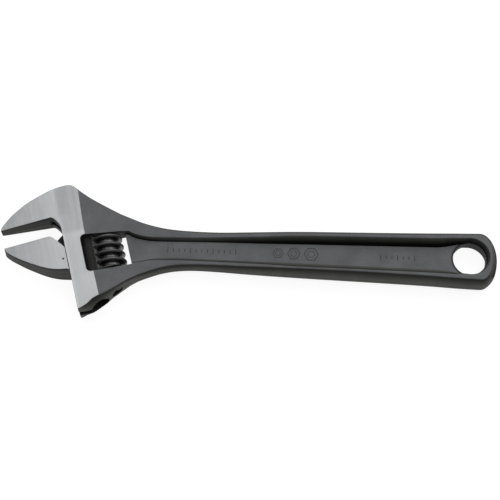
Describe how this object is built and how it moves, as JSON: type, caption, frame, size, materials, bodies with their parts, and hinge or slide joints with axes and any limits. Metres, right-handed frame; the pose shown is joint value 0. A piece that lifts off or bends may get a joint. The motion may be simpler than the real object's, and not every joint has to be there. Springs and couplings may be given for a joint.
{
  "type": "adjustable wrench",
  "caption": "Adjustable wrench, 250 mm, dark phosphated steel with ground bright jaws, a left-hand thumb worm and a hanging hole.",
  "frame": {"origin": "centre of the bounding box at the back face the wrench lies on", "axes": "+X from the jaws to the hanging hole, +Y to the fixed jaw's side, +Z out of the front face"},
  "size_m": [0.2552, 0.0672, 0.016],
  "materials": {
    "body": "dark grey phosphated forging with the head's faces ground bright",
    "movable_jaw": "faces ground bright, edges dark phosphated",
    "adjusting_worm": "black oxide, oiled",
    "worm_pin": "black screw steel",
    "worm_spring": "spring wire"
  },
  "bodies": {
    "frame": {"body": "body", "worm_pin": "worm_pin", "worm_spring": "worm_spring"},
    "jaw": {"movable_jaw": "movable_jaw"},
    "worm": {"adjusting_worm": "adjusting_worm"}
  },
  "joints": [
    {"name": "jaw_slide", "type": "slide", "parent": "frame", "child": "jaw", "axis": [-0.2672, 0.9636, 0], "range_m": [-0.0202, 0.0097]},
    {"name": "worm_spin", "type": "hinge", "parent": "frame", "child": "worm", "pos_m": [-0.07098, -0.00138, 0.008], "axis": [-0.2672, 0.9636, 0], "range_deg": [-1717, 827]}
  ],
  "couplings": [
    {"joint": "worm_spin", "follows": "jaw_slide", "rad_per_m": 1478.4}
  ]
}
